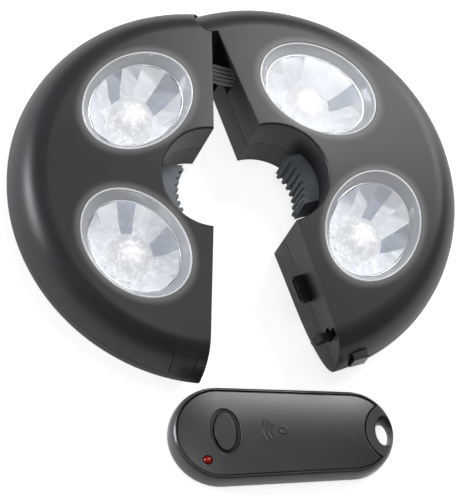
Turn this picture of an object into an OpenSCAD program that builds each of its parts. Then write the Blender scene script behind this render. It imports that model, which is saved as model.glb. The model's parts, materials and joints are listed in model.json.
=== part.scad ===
// Clip-on ring light for an umbrella pole, with its remote control.
// Two half rings hinge together; four oval lamps look out of the front face.
// The lamp lies on its back: +Z is the way the lamps shine, +Y points at the hinge,
// and the origin is on the pole axis of the left half, in the plane of the back.

/* [Ring housing] */
// Outer radius of the closed ring
ring_r = 105; // [100:1:130]
// Radius of the opening for the pole
bore_r = 28; // [27:0.5:29]
// Height of the front face beside the pole opening
front_h = 47; // [45:1:57]
// Height of the front face where the outer shoulder starts
shoulder_h = 42; // [40:1:44]
// Width of the rounded shoulder, seen from the front
shoulder_w = 17; // [14:0.5:20]
// Height of the widest line round the ring
waist_h = 17; // [15:0.5:19]
// Width of the upswept rim of the back
back_rim_w = 45; // [40:1:47]
// Height of the seam between base covers and front covers
seam_h = 21; // [20:0.5:22]
// Visible gap at the seam
seam_gap = 0.3; // [0.2:0.05:0.4]
// Wall thickness of the covers
wall = 2.2; // [1.8:0.1:2.4]
// Gap between the cut faces of the two halves when shut
cut_gap = 0.3; // [0.2:0.1:0.6]

/* [Lamps] */
// Distance of each lamp's centre from the pole axis
lamp_r = 58; // [57.5:0.5:60]
// Angle from the pad's direction to each lamp
lamp_angle = 45; // [44:0.5:46]
// Half length of a lens, along the ring
lens_long = 33.6; // [30:0.2:34]
// Half width of a lens, across the ring
lens_wide = 26.2; // [24:0.2:26.4]
// Thickness of a lens
lens_t = 2; // [1.6:0.1:2.4]
// Gap round a lens in its opening
lens_gap = 0.25; // [0.15:0.05:0.4]
// Half length of the reflector's rim
rim_long = 27.8; // [25:0.2:28]
// Half width of the reflector's rim
rim_wide = 22; // [19:0.2:22]
// Depth of the reflector's rim below the front face
rim_depth = 7; // [6:0.5:8]
// Depth of the reflector's bowl
bowl_depth = 19; // [15:0.5:20]
// Radius of the opening at the bottom of the bowl
neck_r = 13.5; // [11:0.5:14]
// Height of the domed cover over the diodes
dome_h = 12; // [8:0.5:14]
// Radius of a lamp's circuit board
led_board_r = 15; // [14.5:0.5:16]
// Number of diodes round the middle one
leds_around = 6; // [4:1:8]

/* [Hinge] */
// Distance from the hinge axis to the outer edge of the ring
hinge_inset = 9; // [8.5:0.25:12]
// Radius of the hinge knuckles
knuckle_r = 8.5; // [7.5:0.25:8.5]
// Radius of the hinge pin
pin_r = 2; // [1.5:0.1:2.6]
// Angle at which the right half stands open in the rest pose
open_angle = 21.2; // [0:0.1:30]
// Angle by which it opens further than in the rest pose
extra_angle = 18.8; // [5:0.1:20]

/* [Grip pads] */
// Distance of the left pad's ribbed face from the pole axis
left_pad_reach = 14.4; // [12:0.2:19]
// Distance of the right pad's ribbed face from the pole axis
right_pad_reach = 18.6; // [14:0.2:19]
// Half width of a pad
pad_half_w = 14; // [12:0.5:15]
// Height of a pad's lower end above the back
pad_z = 5; // [4.8:0.2:7]
// Length of a pad along the pole
pad_h = 22; // [18:1:26]
// Radius of the pad's hollow face
pad_face_r = 23.6; // [22:0.2:28]
// Distance between neighbouring ribs
rib_pitch = 3.8; // [3:0.1:5]
// Depth of the grooves between the ribs
rib_depth = 1.9; // [0.8:0.1:2]

/* [Power] */
// Diameter of a lamp cell
cell_d = 14.5; // [10.5:0.5:14.5]
// Length of a lamp cell
cell_l = 50.5; // [44.5:0.5:51]
// Distance between the axes of neighbouring cells
cell_pitch = 15.5; // [15:0.1:16]

/* [Latch] */
// Distance that the hook reaches past the cut face
hook_reach = 10.6; // [9:0.2:11]
// Thickness of the hook's arm across the ring
hook_w = 3.7; // [3:0.1:4]
// Travel of the latch and of the release button
latch_travel = 2; // [1.5:0.1:2]
// Distance that the locating tab reaches past the cut face
tab_reach = 6.2; // [5:0.2:8]
// Width of the locating tab
tab_w = 15; // [12:0.5:16]
// Thickness of the locating tab
tab_t = 4; // [3.5:0.25:4.5]

/* [Remote control] */
// Radius of the wide end
remote_r1 = 26.5; // [24:0.5:28]
// Radius of the ring-hole end
remote_r2 = 23.5; // [22:0.5:26]
// Distance between the centres of the two round ends
remote_l = 72; // [68:1:88]
// Thickness
remote_h = 13; // [13:0.5:16]
// Wall thickness
remote_wall = 1.6; // [1.4:0.1:1.8]
// Width of the rim round the face plate
remote_rim = 2.6; // [2.2:0.1:3]
// Width of the groove between the rim and the face plate
remote_groove = 0.7; // [0.3:0.1:0.9]
// Travel of the button
remote_press = 0.8; // [0.4:0.1:0.9]

/* [Hidden] */
$fn = 96;
eps = 0.01;

// Derived sizes of the ring
shoulder_r = ring_r - shoulder_w;
back_flat_r = ring_r - back_rim_w;
front_slope = atan((front_h - shoulder_h) / (shoulder_r - bore_r));
bore_edge = 0.8;
hinge_y = ring_r - hinge_inset;
running_gap = 0.35;
pin_gap = 0.05;
pin_foot = waist_h * (1 - sqrt(1 - pow((hinge_y + pin_r - back_flat_r) / back_rim_w, 2)));
pin_z = [pin_foot, front_h - 13];
relief_r = knuckle_r + 6;

// Windows in the cut faces, as distances towards the hinge from the pole axis
left_window_y = [hinge_y - 37, hinge_y - 17];
right_window_y = [hinge_y - 37.5, hinge_y - knuckle_r - running_gap - 1.2];
right_sill_y = hinge_y - 28.5;
window_z = [wall + 2.4, shoulder_h - wall];

// Latch and tab places, measured from the outer edge
hook_y = ring_r - 13.7;
hook_z = 27;
hook_h = 4.5;
hook_slot_top = shoulder_h - 3.5;
barb = 1.2;
tab_y = ring_r - 54;
tab_z = seam_h + seam_gap;
latch_x = [-17, -8];
latch_z = [19.5, 30];
button_x = [-18, -6];
button_z = [23, 37.5];
button_in = ring_r - 9;
button_seat_y = ring_r - 21;
latch_seat_y = ring_r - 26;
play = 0.6;

// Screw posts of one half, in its own frame
posts = [for (s = [-1, 1], p = [[-7.5, 34.5], [-(ring_r - 25), 42], [-30, ring_r - 19]])
    [p[0], s * p[1]]];
post_base_r = 4.4;
post_front_r = 3.4;
screw_r = 1.4;
screw_gap = 0.15;
head_r = 2.7;
head_seat_z = 12;

// Battery bay, in the frame of one half
cell_x = [for (i = [0, 1]) -(ring_r - 23.5 - i * cell_pitch)];
cell_z = cell_d / 2 + 5.6;
contact_y = cell_l / 2 + 3.4;
contact_reach = 3.35;
door_x = [-(ring_r - 14), -(ring_r - 46.4)];
door_y = cell_l / 2 + 1.8;
door_gap = 0.3;
bay_wall_x = -(ring_r - 53);
door_screw_x = -(ring_r - 49);
door_tongue_x = -(ring_r - 51.2);

// Pad channel
pad_back = bore_r + 4;
carrier_t = 4;
pad_gap = 0.4;
channel_y = pad_half_w + pad_gap;
rib_w = 1.6;

// Electronics
board_floor = 7;
terminal_at = [-24, hinge_y - 32];

// Switch on the back
switch_at = [-24, -50];
switch_travel = 5;

// Remote control's place beside the lamp
remote_at = [12.5, -(ring_r + 25)];
remote_turn = 6.2;
ring_hole_u = remote_l + remote_r2 - 6;
ring_hole = [3.9, 6.3];
hollow_u = remote_l + 24;
hollow_r = 17.4;
button_at = [2.6, 0.6];
button_half = [5.9, 10.7];
dish_half = [8.4, 12.8];
led_at = [-8.5, -15];
icon_at = [33.8, 1];
cell_u = 52;
coin_r = 10;
plate_z = remote_h - 1.7;
board_z = 6;

// Colours of the pieces
dark_shell = [0.24, 0.24, 0.26];
base_shell = [0.30, 0.30, 0.32];
rubber = [0.36, 0.42, 0.47];
clear = [0.80, 0.85, 0.90, 0.5];
bright = [0.85, 0.87, 0.90];
board_green = [0.10, 0.35, 0.20];
steel = [0.70, 0.70, 0.72];
black = [0.06, 0.06, 0.07];

// ---------- outlines ----------

function arc(c, a, b, from, to, n = 10) =
    [for (i = [0:n]) let (t = from + (to - from) * i / n) [c[0] + a * cos(t), c[1] + b * sin(t)]];

function tail(list) = [for (i = [1:len(list) - 1]) list[i]];

// Section of the ring as (radius, height), drawn in by t on every side
function ring_section(t) = concat(
    [[bore_r + t, t]],
    arc([back_flat_r, waist_h], back_rim_w - t, waist_h - t, -90, 0),
    tail(arc([shoulder_r, waist_h], shoulder_w - t, shoulder_h - waist_h - t, 0, 90)),
    t > 0
        ? [[bore_r + t, front_h - t]]
        : [[bore_r + bore_edge, front_h], [bore_r, front_h - bore_edge]]
);

function oval(a, b, n = 64) = [for (i = [0:n - 1]) [a * cos(360 * i / n), b * sin(360 * i / n)]];

// ---------- shared solids ----------

module slab(x, y, z) {
    translate([x[0], y[0], z[0]]) cube([x[1] - x[0], y[1] - y[0], z[1] - z[0]]);
}

module rod(at, r, z) {
    translate([at[0], at[1], z[0]]) cylinder(r = r, h = z[1] - z[0]);
}

module full_ring(t = 0) {
    rotate_extrude($fn = 180) polygon(ring_section(t));
}

// Everything on the left of the cut face, between two heights
module half_block(z) {
    slab([-ring_r - 1, -cut_gap / 2], [-ring_r - 1, ring_r + 1], z);
}

module half_cavity() {
    intersection() {
        full_ring(wall);
        slab([-ring_r - 1, -cut_gap / 2 - wall], [-ring_r - 1, ring_r + 1], [-1, front_h + 1]);
    }
}

// Frame of a lamp: x away from the pole, y along the ring, z out of the front face
module at_lamp(angle) {
    rotate([0, 0, angle])
        translate([lamp_r, 0, front_h - (lamp_r - bore_r) * tan(front_slope)])
            rotate([0, front_slope, 0]) children();
}

// The right half is drawn on the left like its twin, then mirrored and swung open
module right_side() {
    translate([0, hinge_y, 0]) rotate([0, 0, open_angle]) translate([0, -hinge_y, 0])
        mirror([1, 0, 0]) children();
}

module knuckle(extra = 0) {
    translate([0, hinge_y, -1]) cylinder(r = knuckle_r + extra, h = front_h + 2);
}

// Room that the outer corner of the right half needs while it swings
module swing_relief() {
    translate([0, hinge_y, -1]) linear_extrude(height = front_h + 2)
        polygon(concat([[0, 0]], [for (i = [0:8])
            let (t = 86 + (open_angle + extra_angle + 6) * i / 8)
            relief_r * [cos(t), sin(t)]]));
}

// Closed solid through a list of point rings
module loft(rings) {
    n = len(rings[0]);
    m = len(rings);
    polyhedron(
        points = [for (r = rings, p = r) p],
        faces = concat(
            [[for (i = [0:n - 1]) i]],
            [for (k = [0:m - 2], i = [0:n - 1])
                let (a = k * n + i, b = k * n + (i + 1) % n) [a, a + n, b + n, b]],
            [[for (i = [n - 1:-1:0]) (m - 1) * n + i]]
        )
    );
}

// Ring-shaped solid through a closed loop of point rings
module loop_loft(rings) {
    n = len(rings[0]);
    m = len(rings);
    polyhedron(
        points = [for (r = rings, p = r) p],
        faces = [for (k = [0:m - 1], i = [0:n - 1], half = [0, 1])
            let (k2 = (k + 1) % m, i2 = (i + 1) % n,
                 a = k * n + i, b = k * n + i2, c = k2 * n + i2, d = k2 * n + i)
            half == 0 ? [a, d, c] : [a, c, b]]
    );
}

// ---------- covers ----------

module pad_window() {
    slab([-pad_back, 0], [-channel_y, channel_y], [pad_z - pad_gap, pad_z + pad_h + pad_gap]);
}

// Ribs that hold the contacts, and the wall between the cells and the pad's spring
module cell_bay_ribs() {
    stop_y = contact_y + 0.4;
    for (y = [stop_y, -stop_y - rib_w]) slab(door_x, [y, y + rib_w], [-1, cell_z + 2]);
    slab([bay_wall_x - rib_w, bay_wall_x], [-channel_y - rib_w, channel_y + rib_w],
         [-1, pad_z + pad_h - 4]);
}

module pad_channel() {
    for (s = [-1, 1]) {
        slab([bay_wall_x - 0.5, -bore_r - 1],
             s > 0 ? [channel_y, channel_y + rib_w] : [-channel_y - rib_w, -channel_y],
             [-1, pad_z + pad_h - 4]);
        slab([bay_wall_x - 0.5, -pad_back], s > 0 ? [7, 7 + rib_w] : [-7 - rib_w, -7], [-1, pad_z - 0.2]);
    }
}

module door_opening(gap = 0) {
    slab([door_x[0] + gap, door_x[1] - gap], [-door_y + gap, door_y - gap], [-1, waist_h - 2]);
}

// Back shell of one half: the first child gives its outline seen from the front,
// the second one what stands inside it
module base_shell_form() {
    difference() {
        intersection() {
            full_ring();
            children(0);
        }
        difference() {
            half_cavity();
            for (p = posts) rod(p, post_base_r, [-1, front_h + 1]);
            cell_bay_ribs();
            pad_channel();
            rod([door_screw_x, 0], 2.6, [-1, 9]);
            slab([door_x[1] - 1, bay_wall_x - 0.5], [-5, 5], [-1, 4.2]);
            children(1);
        }
        pad_window();
        door_opening();
        for (p = posts) {
            rod(p, screw_r + screw_gap, [-1, seam_h + 1]);
            rod(p, head_r + 0.4, [-1, head_seat_z]);
        }
        rod([door_screw_x, 0], 1.2, [-1, 8]);
        slab([door_x[1] - 1, door_tongue_x + 0.3], [-3.5, 3.5], [-1, 2]);
    }
}

// Front shell of one half, with its outline and inside given in the same way
module front_shell_form() {
    difference() {
        intersection() {
            full_ring();
            children(0);
        }
        difference() {
            half_cavity();
            for (p = posts) rod(p, post_front_r, [-1, front_h + 1]);
            for (s = [-1, 1]) at_lamp(180 + s * lamp_angle) lens_collar();
            children(1);
        }
        pad_window();
        for (s = [-1, 1]) at_lamp(180 + s * lamp_angle)
            translate([0, 0, -lens_t - 3]) linear_extrude(height = lens_t + 8)
                polygon(oval(lens_wide, lens_long));
        for (p = posts) rod(p, screw_r + screw_gap / 2, [seam_h - 1, seam_h + 13]);
    }
}

module lens_collar() {
    translate([0, 0, -lens_t - 2.4]) linear_extrude(height = lens_t + 8)
        polygon(oval(lens_wide + 1.4, lens_long + 1.4));
}

module left_base_cover() {
    color(base_shell) difference() {
        base_shell_form() {
            union() {
                half_block([-1, seam_h]);
                rod([0, hinge_y], knuckle_r, [-1, seam_h]);
            }
            union() {
                knuckle();
                at_main_board() for (i = [-1, 1], y = [-25, 13]) rod([i * 12, y], 2, [-1, board_floor]);
            }
        }
        rod([0, hinge_y], pin_r, [-1, front_h]);
        slab([-wall - 1, 1], left_window_y, [window_z[0], seam_h + 1]);
        translate([switch_at[0], switch_at[1], 0]) slab([-6, 6], [-2.6, 2.6], [-1, wall + 1]);
    }
}

module left_front_cover() {
    color(dark_shell) difference() {
        front_shell_form() {
            difference() {
                half_block([seam_h + seam_gap, front_h + 1]);
                knuckle(running_gap);
            }
            union() {
                knuckle(running_gap + wall);
                slab([-19, -11], [-button_seat_y, -button_seat_y + 2], [-1, front_h + 1]);
            }
        }
        slab([-wall - 1, 1], left_window_y, [seam_h - 1, window_z[1] - 2]);
        slab([-wall - 1, 1], [-tab_y - tab_w - play, -tab_y + play], [seam_h - 1, tab_z + tab_t + play]);
        slab([-wall - 1, 1], [-hook_y - barb - play, -hook_y + hook_w + barb + latch_travel + play],
             [hook_z - play, hook_z + hook_h + play]);
        slab([button_x[0] - 0.3, button_x[1] + 0.3], [-ring_r - 2, -button_in + 6],
             [button_z[0] - 0.3, button_z[1] + 0.3]);
    }
}

module right_base_cover() {
    color(base_shell) right_side() difference() {
        base_shell_form() {
            difference() {
                half_block([-1, seam_h]);
                knuckle(running_gap);
                swing_relief();
            }
            union() {
                knuckle(running_gap + wall);
                at_terminal() slab([-5, 5], [-4, 4], [-1, 18]);
            }
        }
        slab([-wall - 1, 1], [right_sill_y, right_window_y[1]], [window_z[0], seam_h + 1]);
        slab([latch_x[0] - 0.3, latch_x[1] + 0.3], [-ring_r - 2, -button_in + 6],
             [latch_z[0] - 0.3, seam_h + 1]);
    }
}

module right_front_cover() {
    color(dark_shell) right_side() difference() {
        front_shell_form() {
            union() {
                difference() {
                    half_block([seam_h + seam_gap, front_h + 1]);
                    swing_relief();
                }
                rod([0, hinge_y], knuckle_r, [seam_h + seam_gap, front_h + 1]);
            }
            union() {
                knuckle();
                slab([-17, -8], [-latch_seat_y, -latch_seat_y + 2], [-1, front_h + 1]);
            }
        }
        rod([0, hinge_y], pin_r + pin_gap, [seam_h - 1, pin_z[1] + 0.5]);
        slab([-wall - 1, 1], right_window_y, [seam_h - 1, window_z[1]]);
        slab([-wall - 1, 1], [-tab_y - tab_w + 1, -tab_y - 1], [seam_h - 1, tab_z + tab_t]);
        slab([-wall - 1, 1], [-hook_y - play, -hook_y + hook_w + latch_travel + play],
             [hook_z - play, hook_z + hook_h + play]);
        slab([-wall - 1, 1], [-hook_y - play, -hook_y + hook_w], [hook_z, hook_slot_top]);
        slab([latch_x[0] - 0.3, latch_x[1] + 0.3], [-ring_r - 2, -button_in + 6],
             [seam_h - 1, latch_z[1] + 0.3]);
    }
}

// ---------- lamps ----------

module lens() {
    top = -0.4;
    translate([0, 0, top - lens_t]) linear_extrude(height = lens_t)
        polygon(oval(lens_wide - lens_gap, lens_long - lens_gap));
    translate([0, 0, -rim_depth]) linear_extrude(height = rim_depth + top - lens_t + eps)
        difference() {
            polygon(oval(rim_wide + 1.6, rim_long + 1.6));
            polygon(oval(rim_wide + 0.4, rim_long + 0.4));
        }
}

function bowl_ring(a, b, z, n = 44) =
    [for (i = [0:n - 1]) [a * cos(360 * i / n), b * sin(360 * i / n), z]];

// Half axes of the bowl at the share t of its depth
function bowl_half(t, full) = neck_r + (full - neck_r) * pow(1 - t, 0.7);

module reflector() {
    skin = 1.2;
    levels = [0, 0.12, 0.3, 0.5, 0.75, 1];
    inside = [for (t = levels)
        bowl_ring(bowl_half(t, rim_wide), bowl_half(t, rim_long), -rim_depth - t * bowl_depth)];
    outside = [for (i = [len(levels) - 1:-1:1]) let (t = levels[i])
        bowl_ring(bowl_half(t, rim_wide) + skin, bowl_half(t, rim_long) + skin,
                  -rim_depth - t * bowl_depth)];
    flange = [for (z = [-skin, 0]) bowl_ring(rim_wide + 1.8, rim_long + 1.8, -rim_depth + z)];
    loop_loft(concat(inside, outside, flange));
}

module led_board() {
    top = -rim_depth - bowl_depth;
    difference() {
        translate([0, 0, top - 1.6]) cylinder(r = led_board_r, h = 1.6);
        for (s = [-1, 1]) translate([s * (led_board_r - 2), 0, top - 2]) cylinder(r = 0.8, h = 3);
    }
}

// Diodes on their board and the domed cover over them
module leds() {
    base = -rim_depth - bowl_depth;
    chip = 3;
    dome_r = neck_r - 0.2;
    places = concat([[0, 0]],
        [for (i = [0:leds_around - 1]) 7 * [cos(360 * i / leds_around), sin(360 * i / leds_around)]]);
    for (p = places) {
        translate([p[0] - chip / 2, p[1] - chip / 2, base]) cube([chip, chip, 0.8]);
        translate([p[0], p[1], base + 0.79]) cylinder(r = 1.1, h = 0.5);
    }
    translate([0, 0, base]) rotate_extrude() polygon(concat(
        [[dome_r, 0]], arc([0, 1], dome_r, dome_h - 1, 0, 90),
        arc([0, 1], dome_r - 1.2, dome_h - 2.2, 90, 0), [[dome_r - 1.2, 0]]
    ));
}

// ---------- power ----------

module cell() {
    rotate([-90, 0, 0]) {
        cylinder(r = cell_d / 2, h = cell_l - 1.5);
        translate([0, 0, cell_l - 1.5 - eps]) cylinder(r = cell_d / 5, h = 1.5);
    }
}

module cells() {
    for (i = [0, 1]) {
        translate([cell_x[i], 0, cell_z]) mirror([0, i, 0]) translate([0, -cell_l / 2, 0]) cell();
    }
}

// Sprung contact: a cone on a plate; plain contact: a pressed stud on a plate
module contact_spring() {
    rotate_extrude() polygon([[4, 0], [4.8, 0], [2.2, contact_reach], [1.4, contact_reach]]);
}

module contacts() {
    for (i = [0, 1], s = [-1, 1]) translate([cell_x[i], s * contact_y, cell_z]) {
        slab([-5.5, 5.5], [-0.3, 0.3], [1.75 - cell_d / 2, 6.5]);
        sprung = (i == 0) == (s < 0);
        rotate([s * 90, 0, 0]) if (sprung) contact_spring(); else cylinder(r = 2.6, h = contact_reach);
    }
}

module battery_door() {
    difference() {
        intersection() {
            difference() {
                full_ring();
                full_ring(wall);
            }
            union() {
                door_opening(door_gap);
                slab([door_x[1] - 2, door_tongue_x], [-3.2, 3.2], [0.9, 1.9]);
            }
        }
        rod([door_screw_x, 0], 1.3, [-1, 4]);
        for (i = [-2:2]) slab([door_x[0] + 14, door_x[0] + 24], [i * 3 - 0.6, i * 3 + 0.6], [-1, 0.5]);
    }
}

module door_screw() {
    difference() {
        union() {
            rod([door_screw_x, 0], 2.2, [0.1, 0.9]);
            rod([door_screw_x, 0], 1.1, [0.8, 7]);
        }
        slab([door_screw_x - 2, door_screw_x + 2], [-0.35, 0.35], [-1, 0.5]);
    }
}

module cover_screws() {
    for (p = posts) difference() {
        union() {
            rod(p, head_r, [head_seat_z - 2.2, head_seat_z]);
            rod(p, screw_r, [head_seat_z - eps, seam_h + 11]);
        }
        for (a = [0, 90]) translate([p[0], p[1], head_seat_z - 2.6]) rotate([0, 0, a])
            slab([-1.6, 1.6], [-0.35, 0.35], [0, 1.4]);
    }
}

// ---------- grip pads ----------

// Outline of a pad whose ribbed face stands at the given distance from the pole axis
function pad_outline(reach) =
    let (c = pad_face_r - reach,
         step = rib_pitch / pad_face_r * 180 / PI,
         n = floor(asin((pad_half_w - 0.6) / pad_face_r) / step))
    concat(
        [[-pad_back, -pad_half_w], [-pad_back, pad_half_w],
         [c - pad_face_r * cos(asin(pad_half_w / pad_face_r)) - rib_depth, pad_half_w]],
        [for (i = [n:-1:-n], k = [0:3])
            let (a = step * (i + [0.34, 0.22, -0.22, -0.34][k]),
                 r = pad_face_r + (k == 0 || k == 3 ? rib_depth : 0))
            [c - r * cos(a), r * sin(a)]],
        [[c - pad_face_r * cos(asin(pad_half_w / pad_face_r)) - rib_depth, -pad_half_w]]
    );

module grip_pad(reach) {
    translate([0, 0, pad_z]) linear_extrude(height = pad_h) polygon(pad_outline(reach));
}

module pad_carrier() {
    difference() {
        slab([-pad_back - carrier_t, -pad_back], [-pad_half_w + 0.6, pad_half_w - 0.6],
             [pad_z, pad_z + pad_h - 5]);
        rod_x(-pad_back - carrier_t - 1, 4.4, 2.5);
    }
}

// Rod along x through the middle of the pad channel
module rod_x(x, r, h) {
    translate([x, 0, pad_z + pad_h / 2 - 2]) rotate([0, 90, 0]) cylinder(r = r, h = h);
}

module pad_spring() {
    start = bay_wall_x + 0.1;
    stop = -pad_back - carrier_t + 1.4;
    difference() {
        rod_x(start, 4, stop - start);
        rod_x(start - 1, 3, stop - start + 2);
    }
}

// ---------- electronics ----------

// Frame of the main board: x away from the pole, y along the ring
module at_main_board() {
    rotate([0, 0, 180 - lamp_angle]) translate([lamp_r + 4, 0, 0]) children();
}

module main_board() {
    color(board_green) at_main_board() {
        slab([-15, 15], [-28, 16], [board_floor, board_floor + 1.6]);
        slab([-9, -1], [-6, 4], [board_floor + 1.5, board_floor + 3.4]);
        slab([3, 10], [-12, -5], [board_floor + 1.5, board_floor + 3]);
        slab([-2, 6], [-27, -21], [board_floor + 1.5, board_floor + 5]);
    }
}

module at_terminal() {
    translate(terminal_at) children();
}

module terminal_block() {
    color(black) right_side() at_terminal() slab([-5, 5], [-4, 4], [18, 24]);
}

module switch_body() {
    color(black) translate([switch_at[0], switch_at[1], 0]) difference() {
        slab([-8, 8], [-4.5, 4.5], [wall, wall + 5.4]);
        slab([-6.2, 6.2], [-3.3, 3.3], [wall - 1, wall + 3]);
    }
}

module power_slider() {
    color(steel) translate([switch_at[0] - switch_travel / 2, switch_at[1], 0]) {
        slab([-3, 3], [-3, 3], [wall + 0.9, wall + 2.7]);
        for (i = [-1:1]) slab([i * 1.6 - 0.5, i * 1.6 + 0.5], [-2, 2], [0.5, 1.2]);
        slab([-2.4, 2.4], [-2, 2], [1, wall + 1]);
    }
}

// ---------- latch ----------

module left_release_button() {
    color(dark_shell) {
        intersection() {
            full_ring();
            slab(button_x, [-ring_r - 1, -button_in], button_z);
        }
        slab([button_x[0] - 1.6, button_x[1] + 1.6], [-button_in - 2.4, -button_in],
             [button_z[0] + 1.4, button_z[0] + 5]);
    }
}

module coil_seat(at, from, to, r) {
    translate([at[0], from, at[1]]) rotate([-90, 0, 0]) difference() {
        cylinder(r = r, h = to - from);
        translate([0, 0, -1]) cylinder(r = r - 0.7, h = to - from + 2);
    }
}

module left_button_spring() {
    color(steel) coil_seat([-15, 27.5], -button_in + 0.1, -button_seat_y - 0.1, 2.4);
}

// Arm and arrow-shaped head of the hook
function hook_outline() =
    [[latch_x[0], -hook_y], [0, -hook_y], [hook_reach - 1, -hook_y - barb], [hook_reach, -hook_y + 1.9],
     [hook_reach - 4.2, -hook_y + hook_w + barb], [0, -hook_y + hook_w], [latch_x[0], -hook_y + hook_w]];

module right_latch() {
    color(black) right_side() {
        slab(latch_x, [-ring_r - 0.9, -hook_y + hook_w], latch_z);
        translate([0, 0, hook_z]) linear_extrude(height = hook_h) polygon(hook_outline());
    }
}

module right_latch_spring() {
    color(steel) right_side() coil_seat([-12.5, 26], -hook_y + hook_w + 0.1, -latch_seat_y - 0.1, 2.4);
}

module tab_plan(r) {
    x = [-wall - 2.6, tab_reach];
    y = [-tab_y - tab_w, -tab_y];
    translate([x[0], y[0] + 1]) square([x[1] - x[0] - r, tab_w - 2]);
    translate([0, y[0]]) square([x[1] - r, tab_w]);
    translate([0, y[0] + r]) square([x[1], tab_w - 2 * r]);
    for (s = [y[0] + r, y[1] - r]) translate([x[1] - r, s]) circle(r = r, $fn = 32);
}

// The tab's section along its reach, with a round nose
module tab_section(r) {
    translate([-wall - 3, tab_z]) square([tab_reach + wall + 3 - r, tab_t]);
    translate([0, tab_z + r]) square([tab_reach, tab_t - 2 * r]);
    for (z = [r, tab_t - r]) translate([tab_reach - r, tab_z + z]) circle(r = r, $fn = 32);
}

module rounded_tab() {
    intersection() {
        translate([0, 0, tab_z - 1]) linear_extrude(height = tab_t + 2) tab_plan(2.4);
        translate([0, 1 - tab_y, 0]) rotate([90, 0, 0]) linear_extrude(height = tab_w + 2) tab_section(1.5);
    }
}

module locating_tab() {
    color(black) right_side() {
        rounded_tab();
        slab([-wall - 2.6, -wall - 0.4], [-tab_y - tab_w, -tab_y], [tab_z, tab_z + tab_t + 1]);
    }
}

// ---------- hinge ----------

module hinge_pin() {
    color(steel) {
        rod([0, hinge_y], pin_r, [pin_z[0], pin_z[1]]);
    }
}

// Place in the open right half of a point given on its closed twin
function opened(p) =
    [cos(open_angle) * -p[0] - sin(open_angle) * (p[1] - hinge_y),
     hinge_y + sin(open_angle) * -p[0] + cos(open_angle) * (p[1] - hinge_y), p[2]];

function on_board(p) =
    let (a = 180 - lamp_angle)
    [cos(a) * (lamp_r + 4 + p[0]) - sin(a) * p[1], sin(a) * (lamp_r + 4 + p[0]) + cos(a) * p[1], p[2]];

// Leads from the main board through both windows to the terminal block
lead_r = 0.85;
lead_pitch = 2.1;
lead_count = 5;
lead_y = hinge_y - 26;
lead_route = [
    on_board([2, -27.1, 10.6]), on_board([2, -30, 10.8]), [-20.5, lead_y - 1.2, 13.4],
    [-15, lead_y + 0.6, 18], [-9, lead_y + 1.4, 22], [-2.5, lead_y + 1.2, 25], [3.5, lead_y + 0.2, 26.3],
    [9.5, lead_y - 0.9, 26.5], [16, lead_y - 0.8, 25.4],
    opened([terminal_at[0] + 8.5, terminal_at[1], 22]), opened([terminal_at[0] + 5.1, terminal_at[1], 21.4])
];

function unit(v) = v / norm(v);

function lead_ring(i, offset, n = 8) =
    let (m = len(lead_route) - 1,
         along = unit(lead_route[min(i + 1, m)] - lead_route[max(i - 1, 0)]),
         side = unit(cross([0, 0, 1], along)),
         up = cross(along, side))
    [for (k = [0:n - 1])
        lead_route[i] + offset * (side + [0, 0, 0.2])
        + lead_r * (cos(360 * k / n) * side + sin(360 * k / n) * up)];

module hinge_cable() {
    color([0.45, 0.45, 0.47])
        for (j = [0:lead_count - 1]) let (offset = (j - (lead_count - 1) / 2) * lead_pitch)
            loft([for (i = [0:len(lead_route) - 1]) lead_ring(i, offset)]);
}

// ---------- remote control ----------

module remote_pose() {
    translate([remote_at[0], remote_at[1], 0]) rotate([0, 0, remote_turn]) children();
}

// Tapered outline with round ends, drawn in by t
function remote_outline(t) =
    let (tangent = acos((remote_r1 - remote_r2) / remote_l))
    concat(
        arc([0, 0], remote_r1 - t, remote_r1 - t, tangent, 360 - tangent, 22),
        arc([remote_l, 0], remote_r2 - t, remote_r2 - t, -tangent, tangent, 20)
    );

function lifted(points, z) = [for (p = points) [p[0], p[1], z]];

module remote_body_form() {
    levels = [[2.6, 0], [1.2, 0.5], [0.3, 1.8], [0, 3.8], [0, remote_h - 5],
              [0.4, remote_h - 2.8], [1.2, remote_h - 1.1], [2.2, remote_h - 0.2]];
    loft([for (l = levels) lifted(remote_outline(l[0]), l[1])]);
}

module oval_hole(at, half, z) {
    translate([at[0], at[1], z[0]]) linear_extrude(height = z[1] - z[0])
        polygon(oval(half[0], half[1], 48));
}

// Hole for a key ring, widening towards both faces: [widening of the half axes, height]
module key_ring_hole() {
    levels = [[1.9, -1], [1.3, 0], [0, 4], [0, remote_h - 6], [0.9, remote_h - 0.8], [1.3, remote_h],
              [1.6, remote_h + 1]];
    loft([for (l = levels) [for (p = oval(ring_hole[0] + l[0], ring_hole[1] + 1.9 * l[0], 40))
        [ring_hole_u + p[0], p[1], l[1]]]]);
}

remote_posts = [[-16, 10], [-14, -12], [remote_l - 2, 13], [remote_l - 2, -13]];

module remote_base() {
    color(dark_shell) remote_pose() difference() {
        union() {
            difference() {
                remote_body_form();
                difference() {
                    translate([0, 0, remote_wall]) linear_extrude(height = remote_h)
                        polygon(remote_outline(remote_rim));
                    rod([hollow_u, 0], hollow_r - remote_groove, [-1, remote_h]);
                }
            }
            for (p = remote_posts) rod(p, 2.6, [remote_wall - eps, board_z]);
            difference() {
                rod([cell_u, 0], coin_r + 3.6, [0.6, 3.4]);
                rod([cell_u, 0], coin_r + 0.5, [0, 4]);
            }
        }
        key_ring_hole();
        rod([cell_u, 0], coin_r + 2, [-1, 1.8]);
        for (p = remote_posts) {
            rod(p, 1.2, [-1, board_z + 1]);
            rod(p, 2, [-1, 1.4]);
        }
    }
}

module face_outline() {
    difference() {
        polygon(remote_outline(remote_rim + remote_groove));
        translate([hollow_u, 0]) circle(r = hollow_r);
    }
}

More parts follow.
